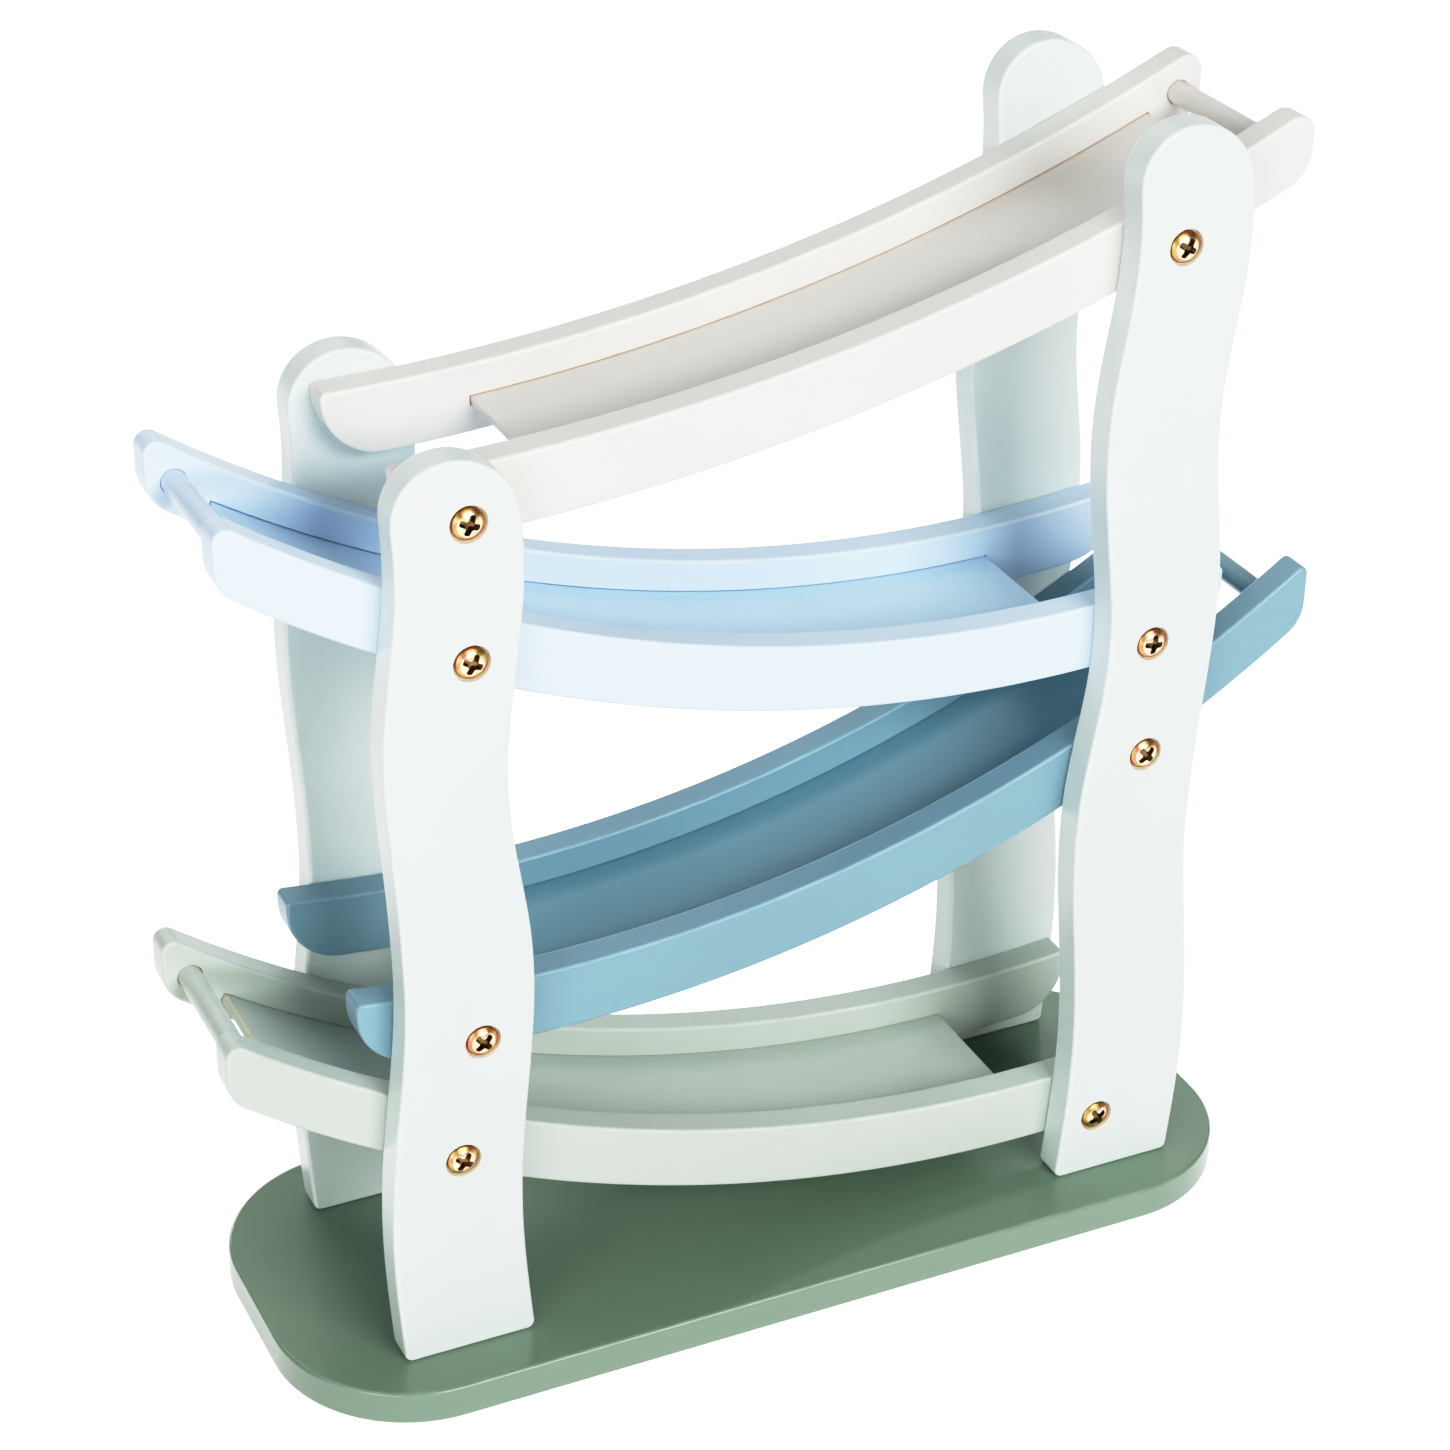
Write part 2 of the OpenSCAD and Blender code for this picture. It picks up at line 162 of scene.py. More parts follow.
def grown(loop, amount):
    """The loop moved outwards by amount."""
    sides = side_normals(loop)
    moved = []
    for i, p in enumerate(loop):
        mid = (sides[i - 1] + sides[i]).normalized()
        moved.append(p + mid * amount / max(mid.dot(sides[i - 1]), MITRE_LIMIT))
    return moved


def inside(p, loop):
    hit = False
    for a, b in zip(loop, loop[1:] + loop[:1]):
        if (a.y > p.y) != (b.y > p.y) and p.x < a.x + (p.y - a.y) * (b.x - a.x) / (b.y - a.y):
            hit = not hit
    return hit


# Boards with softened edges

class Shell:
    """Collects the faces of a board, each with its own corner normals, and makes an object of them."""

    SOFT_STEPS = 4
    # How pale a pocket's mouth gets: worn paint and painted highlight
    POCKET_WEAR_AND_LIGHT = 0.5
    FILL_GAP = 1e-6

    def __init__(self, axis):
        self.axis = axis
        self.points, self.faces, self.normals, self.slots, self.worn_and_lit = [], [], [], [], []

    def lift(self, p, level):
        return Vector((p.x, level, p.y)) if self.axis == Y else Vector((p.x, p.y, level))

    def flat(self, i):
        p = self.points[i]
        return Vector((p.x, p.z if self.axis == Y else p.y))

    def ring(self, loop, level):
        first = len(self.points)
        self.points += [self.lift(p, level) for p in loop]
        return range(first, first + len(loop))

    def face(self, ids, normals, slot, worn_and_lit):
        ids, normals, worn_and_lit = list(ids), list(normals), list(worn_and_lit)
        if flat_normal([self.points[i] for i in ids]).dot(sum(normals, Vector())) < 0:
            ids, normals, worn_and_lit = ids[::-1], normals[::-1], worn_and_lit[::-1]
        self.faces.append(ids)
        self.normals += normals
        self.worn_and_lit += worn_and_lit
        self.slots.append(slot)

    def strip(self, rings, tilts, faces_out, slot, worn_and_lit=(0, 0)):
        """Joins two rings. A tilt is the angle of a ring's normals from the loop's plane, towards the axis.
        The slot is one for all faces, or a list with one for each."""
        n = len(rings[0])
        for i in range(n):
            j = (i + 1) % n
            sides = (faces_out[i][1], faces_out[j][0])
            ids, normals = [], []
            for ring, tilt, order in ((rings[0], tilts[0], (0, 1)), (rings[1], tilts[1], (1, 0))):
                for end in order:
                    ids.append(ring[(i, j)[end]])
                    normals.append(self.lift(sides[end] * math.cos(tilt), math.sin(tilt)))
            face_slot = slot[i] if isinstance(slot, list) else slot
            self.face(ids, normals, face_slot, (worn_and_lit[0], worn_and_lit[0], worn_and_lit[1], worn_and_lit[1]))

    def soft_edge(self, loop, level, up, soft, out, slot, worn_and_lit=1):
        """Rounds the edge where a wall meets a flat face at level. up is the face's direction, out is 1 on
        an outer edge and -1 round a pocket. Gives the wall's ring and the flat face's ring."""
        faces_out = [(a * out, b * out) for a, b in outward(loop)]
        rings, tilts = [], []
        for k in range(self.SOFT_STEPS + 1):
            turn = QUARTER_TURN * k / self.SOFT_STEPS
            inset = soft * (1 - math.cos(turn))
            rings.append(self.ring(grown(loop, -out * inset), level - up * soft * (1 - math.sin(turn))))
            tilts.append(up * turn)
        for k in range(self.SOFT_STEPS):
            # Paler paint peaks in the middle of the rounded edge: worn paint and painted highlight
            wear_and_light = [worn_and_lit * math.sin(math.pi * m / self.SOFT_STEPS) for m in (k, k + 1)]
            self.strip(rings[k:k + 2], tilts[k:k + 2], faces_out, slot, wear_and_light)
        return rings[0], rings[-1]

    def board(self, loop, low, high, soft, wall_slot=OUTER):
        """The outer skin of a board. Gives the rings that its low and its high flat face fill."""
        foot, low_ring = self.soft_edge(loop, low, -1, soft, 1, OUTER)
        head, high_ring = self.soft_edge(loop, high, 1, soft, 1, OUTER)
        self.strip((foot, head), (0, 0), outward(loop), wall_slot)
        return low_ring, high_ring

    def pocket(self, loop, level, up, soft, steps, wall_slot=INNER, mouth_slot=OUTER):
        """Sinks a pocket from the flat face at level. Each step is a loop and its depth. Gives the rings at
        the mouth and at the end of the last step."""
        faces_in = [(-a, -b) for a, b in outward(loop)]
        wall, mouth = self.soft_edge(loop, level, up, soft, -1, mouth_slot, self.POCKET_WEAR_AND_LIGHT)
        last_loop, last_depth = loop, soft
        for step_loop, depth in steps:
            new = self.ring(step_loop, level - up * depth)
            narrowing = (last_loop[0] - step_loop[0]).length
            tilt = up * math.atan2(narrowing, depth - last_depth)
            self.strip((wall, new), (tilt, tilt), faces_in, wall_slot)
            wall, last_loop, last_depth = new, step_loop, depth
        return mouth, wall

    def cap(self, up, rim, holes=(), slot=OUTER):
        """Fills a flat face inside a rim and outside its holes."""
        loops = [list(rim)] + [list(h) for h in holes]
        ids = [i for loop in loops for i in loop]
        at = {i: k for k, i in enumerate(ids)}
        flats = [self.flat(i) * MM_PER_METRE for i in ids]
        edges = [(at[a], at[b]) for loop in loops for a, b in zip(loop, loop[1:] + loop[:1])]
        _, _, faces, source, _, _ = delaunay_2d_cdt(flats, edges, [], 0, self.FILL_GAP)
        shapes = [[flats[at[i]] for i in loop] for loop in loops]
        for face in faces:
            corners = [source[k][0] for k in face]
            mid = sum((flats[k] for k in corners), Vector((0, 0))) / 3
            if inside(mid, shapes[0]) and not any(inside(mid, s) for s in shapes[1:]):
                straight = self.lift(Vector((0, 0)), up)
                self.face([ids[k] for k in corners], [straight] * 3, slot, (0, 0, 0))

    def build(self, name, materials):
        mesh = bpy.data.meshes.new(name)
        mesh.from_pydata(self.points, [], self.faces)
        mesh.polygons.foreach_set("use_smooth", [True] * len(self.faces))
        mesh.polygons.foreach_set("material_index", self.slots)
        for material in materials:
            mesh.materials.append(material)
        worn_and_lit = mesh.attributes.new("worn_and_lit", "FLOAT", "CORNER")
        worn_and_lit.data.foreach_set("value", self.worn_and_lit)
        mesh.normals_split_custom_set([n.normalized() for n in self.normals])
        mesh.validate()
        obj = bpy.data.objects.new(name, mesh)
        bpy.context.scene.collection.objects.link(obj)
        return obj


def dress(obj, node):
    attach(obj, "root")
    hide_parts(node)


# Materials

NOISE_LOW, NOISE_HIGH = 0.3, 0.7    # most of a noise texture's values lie between these
MIX_FACTOR, MIX_A, MIX_B = 0, 6, 7  # sockets of a colour Mix node
MIX_RESULT = 2


def new_material(name):
    mat = bpy.data.materials.new(name)
    mat.use_nodes = True
    tree = mat.node_tree
    return mat, tree, tree.nodes["Principled BSDF"]


def node_of(tree, kind, inputs=None, **settings):
    made = tree.nodes.new(kind)
    for key, value in settings.items():
        setattr(made, key, value)
    for key, value in (inputs or {}).items():
        if isinstance(value, bpy.types.NodeSocket):
            tree.links.new(value, made.inputs[key])
        else:
            made.inputs[key].default_value = value
    return made


def noise(tree, scale, stretch=(1, 1, 1), detail=2, roughness=0.5, distortion=0.0):
    where = node_of(tree, "ShaderNodeTexCoord")
    mapped = node_of(tree, "ShaderNodeMapping", {"Vector": where.outputs["Object"], "Scale": stretch})
    made = node_of(tree, "ShaderNodeTexNoise", {
        "Vector": mapped.outputs["Vector"], "Scale": scale, "Detail": detail,
        "Roughness": roughness, "Distortion": distortion})
    return made.outputs["Fac"]


def ramp(tree, value, stops):
    made = node_of(tree, "ShaderNodeValToRGB", {"Fac": value})
    elements = made.color_ramp.elements
    while len(elements) < len(stops):
        elements.new(0.5)
    for element, (place, colour) in zip(elements, stops):
        element.position = place
        element.color = (*colour, 1)
    return made.outputs["Color"]


def spread(tree, value, low, high):
    """A noise's values, spread from low to high."""
    made = node_of(tree, "ShaderNodeMapRange", {
        "Value": value, "From Min": NOISE_LOW, "From Max": NOISE_HIGH, "To Min": low, "To Max": high})
    return made.outputs["Result"]


def mix(tree, factor, a, b):
    made = node_of(tree, "ShaderNodeMix", data_type="RGBA")
    for index, value in ((MIX_FACTOR, factor), (MIX_A, a), (MIX_B, b)):
        socket = made.inputs[index]
        if isinstance(value, bpy.types.NodeSocket):
            tree.links.new(value, socket)
        else:
            socket.default_value = value if isinstance(value, (int, float)) else (*value, 1)
    return made.outputs[MIX_RESULT]


def add_bump(tree, shader, height, strength, distance):
    bump = node_of(tree, "ShaderNodeBump", {"Height": height, "Strength": strength, "Distance": distance})
    tree.links.new(bump.outputs["Normal"], shader.inputs["Normal"])


def linear(*display):
    """Linear colour of an 8-bit display colour."""
    shares = [c / 255 for c in display]
    return tuple(c / 12.92 if c <= 0.04045 else ((c + 0.055) / 1.055) ** 2.4 for c in shares)


def scaled(colour, k):
    return tuple(min(1.0, c * k) for c in colour)


def paint(name, colour, grain=(1, 1, 1), rough=0.36, coat=0.2, coat_rough=0.22):
    """Satin paint on wood: soft cloudy tone, a faint grain under it, and paler paint along rounded edges, as
    worn paint and as a painted highlight.
    """
    dim, bright, grain_dark = (scaled(colour, k) for k in (0.965, 1.03, 0.9))
    pale = tuple(min(1.0, c * 1.25 + 0.02) for c in colour)
    mat, tree, shader = new_material(name)
    cloud = noise(tree, scale=14, detail=3)
    fibre = noise(tree, scale=260, stretch=grain, detail=4, roughness=0.6)
    speck = noise(tree, scale=2600, detail=1)
    patches = noise(tree, scale=120, detail=3)
    tone = ramp(tree, cloud, [(NOISE_LOW, dim), (NOISE_HIGH, bright)])
    tone = mix(tree, spread(tree, fibre, low=0.0, high=0.12), tone, grain_dark)
    # Paler paint along rounded edges: worn paint, and also a painted highlight
    worn_and_lit = node_of(tree, "ShaderNodeAttribute", attribute_name="worn_and_lit").outputs["Fac"]
    thickness = spread(tree, patches, low=0.15, high=0.75)
    thinned_and_lit = node_of(tree, "ShaderNodeMath", {0: worn_and_lit, 1: thickness}, operation="MULTIPLY").outputs[0]
    tree.links.new(mix(tree, thinned_and_lit, tone, pale), shader.inputs["Base Color"])
    tree.links.new(spread(tree, speck, rough - 0.03, rough + 0.05), shader.inputs["Roughness"])
    add_bump(tree, shader, mix(tree, 0.35, fibre, speck), strength=0.12, distance=0.2 * MM)
    shader.inputs["IOR"].default_value = 1.5
    shader.inputs["Specular IOR Level"].default_value = 0.35
    shader.inputs["Coat Weight"].default_value = coat
    shader.inputs["Coat Roughness"].default_value = coat_rough
    return mat


def raw_wood(name, colour):
    """Bare wood in grooves, round dowel holes and at the floors' sides, with fine fibres, in the tone given
    to it; the blue ramps' dark tones paint shade in their seams.
    """
    mat, tree, shader = new_material(name)
    fibre = noise(tree, scale=420, stretch=(0.25, 1, 1), detail=5, roughness=0.65, distortion=0.4)
    dark, light = scaled(colour, 0.72), scaled(colour, 1.18)
    tone = ramp(tree, fibre, [(0.3, dark), (0.55, colour), (0.75, light)])
    tree.links.new(tone, shader.inputs["Base Color"])
    tree.links.new(spread(tree, fibre, low=0.62, high=0.8), shader.inputs["Roughness"])
    add_bump(tree, shader, fibre, strength=0.3, distance=0.2 * MM)
    return mat


def plated(name, rough, tints):
    """Zinc plate with the drifting tints of its passivation and fine drawn scratches."""
    mat, tree, shader = new_material(name)
    drift = noise(tree, scale=190, distortion=1.2)
    scratch = noise(tree, scale=2400, stretch=(1, 1, 4))
    tree.links.new(ramp(tree, drift, tints), shader.inputs["Base Color"])
    tree.links.new(spread(tree, scratch, rough - 0.05, rough + 0.1), shader.inputs["Roughness"])
    add_bump(tree, shader, scratch, strength=0.1, distance=0.1 * MM)
    shader.inputs["Metallic"].default_value = 1.0
    return mat


# Stretches of the grain's noise, for boards that lie along X and that stand along Z
ALONG_X = (0.12, 1, 1)
ALONG_Z = (1, 1, 0.12)
BASE_PAINT = paint("sage_paint", linear(116, 139, 120), ALONG_X, coat=0.7, coat_rough=0.12)
# A lighter copy of the sage paint for the base's side walls: painted light, as those sides catch more light
# than the top
BASE_EDGE_PAINTED_LIGHT = paint("sage_edge_painted_light", linear(127, 147, 131), ALONG_X)
POST_PAINT = paint("mint_paint", linear(219, 230, 226), ALONG_Z)
# The recess walls' cream, lighter than the posts' paint: painted light in the shaded screw recesses
RECESS_PAINTED_LIGHT = paint("cream_recess_painted_light", linear(246, 240, 220))
RAMP_PAINT = {
    "top": paint("top_paint", linear(225, 223, 218), ALONG_X),
    "upper": paint("upper_paint", linear(209, 230, 255), ALONG_X),
    "lower": paint("lower_paint", linear(129, 162, 175), ALONG_X),
    "bottom": paint("bottom_paint", linear(195, 205, 196), ALONG_X),
}
# The two blue ramps' floors get darker, deeper copies of their rails' paint: painted shade in the troughs.
# The pale ramps' floors share their rails' paint
FLOOR_PAINT_AND_SHADE = {
    "top": RAMP_PAINT["top"],
    "upper": paint("upper_floor_painted_shade", linear(199, 228, 254), ALONG_X),
    "lower": paint("lower_floor_painted_shade", linear(121, 161, 173), ALONG_X),
    "bottom": RAMP_PAINT["bottom"],
}
# The pale ramps' tan and straw are the bare wood's own tones; the blue ramps' dark slate and blue are painted
# shade in their grooves' seams
BARE_WOOD_AND_SEAM_SHADE = {
    "top": raw_wood("raw_tan", linear(238, 208, 176)),
    "upper": raw_wood("raw_slate_seam_shade", linear(96, 116, 140)),
    "lower": raw_wood("raw_blue_seam_shade", linear(60, 88, 104)),
    "bottom": raw_wood("raw_straw", linear(222, 208, 174)),
}
YELLOW_ZINC = plated("yellow_zinc", 0.24, [
    (0.30, linear(192, 164, 122)),
    (0.45, linear(222, 202, 162)),
    (0.58, linear(216, 174, 156)),
    (0.72, linear(200, 188, 136)),
])
# Rim zinc in the plate's own copper, rose and olive tints, darkened as painted shade and painted reflection
# on the head's rim
RIM_SHADED_ZINC = plated("rim_painted_shade_zinc", 0.3, [
    (0.32, linear(150, 130, 78)),
    (0.45, linear(182, 140, 90)),
    (0.57, linear(172, 112, 94)),
    (0.70, linear(166, 146, 86)),
])
# Darker zinc lining the screws' cross recesses: painted shade in the recess
SHADED_CROSS_ZINC = plated("cross_painted_shade_zinc", 0.4, [(0.35, linear(104, 86, 60)), (0.65, linear(146, 122, 86))])
BRIGHT_ZINC = plated("bright_zinc", 0.3, [(0.35, linear(178, 180, 184)), (0.65, linear(208, 208, 206))])
# The screws' materials: the plate, the painted shade in the cross, and the rim's darker zinc
SCREW_PLATE_AND_SHADE = (YELLOW_ZINC, SHADED_CROSS_ZINC, RIM_SHADED_ZINC)


# Boards and dowels

BOARD_STEP = 1.5 * MM       # longest facet on the outlines of the base and posts
RAMP_STEP = 2 * MM          # the same on the rails and floors
POST_SOFT = 1.0 * MM        # radii of softened edges
RAIL_SOFT = 0.9 * MM
FLOOR_SOFT = 0.2 * MM
DOWEL_SOFT = 0.5 * MM
RECESS_SOFT = 0.25 * MM
HOLE_SOFT = 0.1 * MM
FLOOR_BEVEL = 0.3 * MM
DOWEL_FACETS = 64
PILOT_FACETS = 24
SCREW_SEAT = 1.6 * MM       # depths of pockets
SEAT_STEP = 0.001 * MM
GROOVE_DEPTH = 3 * MM
DOWEL_DEPTH = 5 * MM
PILOT_DEPTH = 4.9 * MM
DOWEL_GAP = 0.02 * MM

# Bare wood shows along the top ramp's grooves, round the dowels of the two pale ramps, which also have
# tighter grooves, and at the ends of the bottom ramp's floor. A bare mouth is softened more, to show it.
PALE_RAMPS = ("top", "bottom")
TIGHT_GROOVE, OPEN_GROOVE = 0.03 * MM, 0.07 * MM
BARE_GROOVE_SOFT, GROOVE_SOFT = 0.3 * MM, 0.1 * MM
BARE_BORE_SOFT, BORE_SOFT = 0.22 * MM, 0.05 * MM


def make_base():
    lo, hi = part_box("base_plate")
    outline, *tops = flat_loops("base_plate", Z, hi.z)
    mouths = flat_loops("base_plate", Z, lo.z)[1:]
    edge = hi.x - max(p.x for p in outline)
    shell = Shell(Z)
    widest = grown(finer(outline, BOARD_STEP), edge)
    # The side walls take the second slot, the lighter sage that paints light on them
    under, over = shell.board(widest, lo.z, hi.z, edge, wall_slot=INNER)
    narrow = min(centre_and_radius(t)[1] for t in tops)
    low_holes, high_holes = [], []
    for mouth in mouths:
        centre, wide = centre_and_radius(mouth)
        bore = circle(centre, narrow)
        steps = [(bore, wide - narrow + HOLE_SOFT), (bore, hi.z - lo.z)]
        rim, end = shell.pocket(circle(centre, wide), lo.z, -1, HOLE_SOFT, steps, wall_slot=OUTER)
        low_holes.append(rim)
        high_holes.append(end)
    shell.cap(-1, under, low_holes)
    shell.cap(1, over, high_holes)
    dress(shell.build("base_board", [BASE_PAINT, BASE_EDGE_PAINTED_LIGHT]), "base_plate")


def make_post(depth, end):
    node = f"{depth}_{end}_post"
    lo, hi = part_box(node)
    up = -1 if depth == "front" else 1
    face, back = (lo.y, hi.y) if up < 0 else (hi.y, lo.y)
    outline, *recesses = flat_loops(node, Y, face)
    bore_radius = min(centre_and_radius(h)[1] for h in flat_loops(node, Y, back)[1:])
    shell = Shell(Y)
    rings = shell.board(finer(outline, BOARD_STEP), lo.y, hi.y, POST_SOFT)
    face_ring, back_ring = rings if up < 0 else rings[::-1]
    mouths, ends = [], []
    for recess in recesses:
        centre, radius = centre_and_radius(recess)
        wide, bore = circle(centre, radius), circle(centre, bore_radius)
        steps = [(wide, SCREW_SEAT), (bore, SCREW_SEAT + SEAT_STEP), (bore, hi.y - lo.y)]
        # The recess walls take the second slot, the cream that paints light into their shade
        mouth, rim = shell.pocket(wide, face, up, RECESS_SOFT, steps)
        mouths.append(mouth)
        ends.append(rim)
    shell.cap(up, face_ring, mouths)
    shell.cap(-up, back_ring, ends)
    dress(shell.build(f"{depth}_{end}_upright", [POST_PAINT, RECESS_PAINTED_LIGHT]), node)


def make_rail(name, depth):
    node = f"{name}_{depth}_rail"
    lo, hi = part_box(node)
    up = 1 if depth == "front" else -1
    face, back = (hi.y, lo.y) if up > 0 else (lo.y, hi.y)
    outline, groove, dowel_hole = flat_loops(node, Y, face)
    shell = Shell(Y)
    rings = shell.board(finer(outline, RAMP_STEP), lo.y, hi.y, RAIL_SOFT)
    face_ring, back_ring = rings[::-1] if up > 0 else rings

    slit = grown(groove, TIGHT_GROOVE if name in PALE_RAMPS else OPEN_GROOVE)
    soft, mouth_slot = (BARE_GROOVE_SOFT, INNER) if name == "top" else (GROOVE_SOFT, OUTER)
    # The groove walls take the second slot: bare wood on the pale ramps, and on the blue ramps a dark tone
    # that paints the seam's shade
    steps = [(slit, GROOVE_DEPTH)]
    groove_mouth, groove_end = shell.pocket(slit, face, up, soft, steps, mouth_slot=mouth_slot)

    centre, radius = centre_and_radius(dowel_hole)
    bore = circle(centre, radius + DOWEL_GAP)
    soft, mouth_slot = (BARE_BORE_SOFT, INNER) if name in PALE_RAMPS else (BORE_SOFT, OUTER)
    steps = [(bore, DOWEL_DEPTH)]
    bore_mouth, bore_end = shell.pocket(bore, face, up, soft, steps, mouth_slot=mouth_slot)

    shell.cap(up, face_ring, [groove_mouth, bore_mouth])
    shell.cap(up, groove_end, slot=INNER)
    shell.cap(up, bore_end, slot=INNER)
    mouths = []
    for hole in flat_loops(node, Y, back)[1:]:
        centre, radius = centre_and_radius(hole)
        pilot = circle(centre, radius, PILOT_FACETS)
        mouth, end = shell.pocket(pilot, back, -up, HOLE_SOFT, [(pilot, PILOT_DEPTH)])
        shell.cap(-up, end, slot=INNER)
        mouths.append(mouth)
    shell.cap(-up, back_ring, mouths)
    dress(shell.build(f"{name}_{depth}_side", [RAMP_PAINT[name], BARE_WOOD_AND_SEAM_SHADE[name]]), node)


def make_floor(name):
    node = f"{name}_floor"
    lo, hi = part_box(node)
    loop = flat_loops(node, Y, lo.y)[0]
    start = next(i for i in range(len(loop)) if turn_at(loop, i) > CORNER_TURN)
    loop = finer(loop[start:] + loop[:start], RAMP_STEP)
    bevelled, slots = [], []
    for i, p in enumerate(loop):
        if turn_at(loop, i) > CORNER_TURN:
            for other in (loop[i - 1], loop[(i + 1) % len(loop)]):
                bevelled.append(p + (other - p).normalized() * FLOOR_BEVEL)
            slots += [INNER if name == "bottom" else OUTER, OUTER]
        else:
            bevelled.append(p)
            slots.append(OUTER)
    shell = Shell(Y)
    low, high = shell.board(bevelled, lo.y, hi.y, FLOOR_SOFT, wall_slot=slots)
    shell.cap(-1, low, slot=INNER)
    shell.cap(1, high, slot=INNER)
    dress(shell.build(f"{name}_track", [FLOOR_PAINT_AND_SHADE[name], BARE_WOOD_AND_SEAM_SHADE[name]]), node)


def make_dowel(name):
    node = f"{name}_dowel"
    lo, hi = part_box(node)
    centre, radius = centre_and_radius(flat_loops(node, Y, lo.y)[0])
    shell = Shell(Y)
    low, high = shell.board(circle(centre, radius, DOWEL_FACETS), lo.y, hi.y, DOWEL_SOFT)
    shell.cap(-1, low)
    shell.cap(1, high)
    dress(shell.build(f"{name}_rod", [RAMP_PAINT[name]]), node)


# Screws

HEAD_RADIUS = 4.0 * MM
HEAD_HEIGHT = 2.5 * MM
RIM_HEIGHT = 1.0 * MM
DOME_RADIUS = 6.083 * MM
DOME_SHARES = (0.96, 0.9, 0.82, 0.73, 0.62, 0.5, 0.38, 0.25, 0.12)  # of the head's radius
RIM_SHARE = 0.7             # of the head's radius, where the rim's darker zinc, a painted shade and reflection, starts
RIM_ROUND = 0.3 * MM        # how far the rim's two edges are rounded, and the points on those rounds
LOW_ROUND = (0.08 * MM, 0.1 * MM)
HIGH_ROUND = 0.05 * MM
SHANK_LENGTH = 11 * MM
SHANK_RADIUS = 1.75 * MM
TIP_RADIUS = 1.2 * MM
TIP_LENGTH = 1.2 * MM

# The cross at its top and bottom: height over the seat, an arm's half length and half width
CROSS_TOP = (HEAD_HEIGHT + 0.4 * MM, 3.0 * MM, 0.85 * MM)
CROSS_BOTTOM = (0.6 * MM, 1.8 * MM, 0.5 * MM)
CROSS_TIP = 0.25 * MM
SHARP_ANGLE = math.radians(32)

# Turns of the crosses in front, in degrees, about as the photo shows them, from each post's top screw down
FRONT_TURNS = {"left": (-20, -26, 43, 55), "right": (-29, -8, 43, 33)}
BACK_TURNS_SEED = 7


def revolved(profile, count=48):
    """A bmesh turned from a profile of (radius, height) points. A point on the axis closes an end."""
    bm = bmesh.new()
    turns = [2 * math.pi * i / count for i in range(count)]
    rings = []
    for radius, height in profile:
        if radius == 0:
            rings.append([bm.verts.new((0, 0, height))])
        else:
            ring = [(radius * math.cos(t), radius * math.sin(t), height) for t in turns]
            rings.append([bm.verts.new(p) for p in ring])
    for a, b in zip(rings, rings[1:]):
        for i in range(count):
            j = (i + 1) % count
            corners = [a[i % len(a)], a[j % len(a)], b[j % len(b)], b[i % len(b)]]
            bm.faces.new(list(dict.fromkeys(corners)))
    bmesh.ops.recalc_face_normals(bm, faces=bm.faces)
    return bm


def cross_arm(reach, half):
    """Corners of one arm with blunt ends, and of the fillet to the next arm."""
    return ((reach - half * 0.4, -half), (reach, -half * 0.5), (reach, half * 0.5),
            (reach - half * 0.4, half), (half * 1.35, half), (half, half * 1.35))


def cross_cutter():
    """A tapered cross-shaped cutter that ends in a blunt point."""
    bm = bmesh.new()
    rings = []
    for height, reach, half in (CROSS_TOP, CROSS_BOTTOM):
        ring = []
        for quarter in range(4):
            spin = Matrix.Rotation(quarter * QUARTER_TURN, 3, "Z")
            for x, y in cross_arm(reach, half):
                ring.append(bm.verts.new(spin @ Vector((x, y, height))))
        rings.append(ring)
    n = len(rings[0])
    for i in range(n):
        j = (i + 1) % n
        bm.faces.new((rings[0][i], rings[0][j], rings[1][j], rings[1][i]))
    tip = bm.verts.new((0, 0, CROSS_BOTTOM[0] - CROSS_TIP))
    bm.faces.new(rings[0])
    for i in range(n):
        bm.faces.new((rings[1][i], rings[1][(i + 1) % n], tip))
    bmesh.ops.recalc_face_normals(bm, faces=bm.faces)
    # The cross's walls take the darker zinc that paints shade in the recess
    for face in bm.faces:
        face.material_index = SCREW_PLATE_AND_SHADE.index(SHADED_CROSS_ZINC)
    return bm


def as_object(bm, name):
    mesh = bpy.data.meshes.new(name)
    bm.to_mesh(mesh)
    bm.free()
    obj = bpy.data.objects.new(name, mesh)
    bpy.context.scene.collection.objects.link(obj)
    return obj


def screw_profile():
    """Half outline of the screw, from the tip of its shank to the top of its head."""
    shank = [(0, -SHANK_LENGTH), (TIP_RADIUS, -SHANK_LENGTH), (SHANK_RADIUS, -SHANK_LENGTH + TIP_LENGTH),
             (SHANK_RADIUS, 0)]
    rim = [(HEAD_RADIUS - RIM_ROUND, 0), (HEAD_RADIUS - LOW_ROUND[0], LOW_ROUND[1]),
           (HEAD_RADIUS, RIM_ROUND), (HEAD_RADIUS, RIM_HEIGHT - RIM_ROUND),
           (HEAD_RADIUS - HIGH_ROUND, RIM_HEIGHT - HIGH_ROUND)]
    dome = []
    for share in DOME_SHARES:
        radius = share * HEAD_RADIUS
        dome.append((radius, HEAD_HEIGHT - DOME_RADIUS + math.sqrt(DOME_RADIUS ** 2 - radius ** 2)))
    return [*shank, *rim, *dome, (0, HEAD_HEIGHT)]


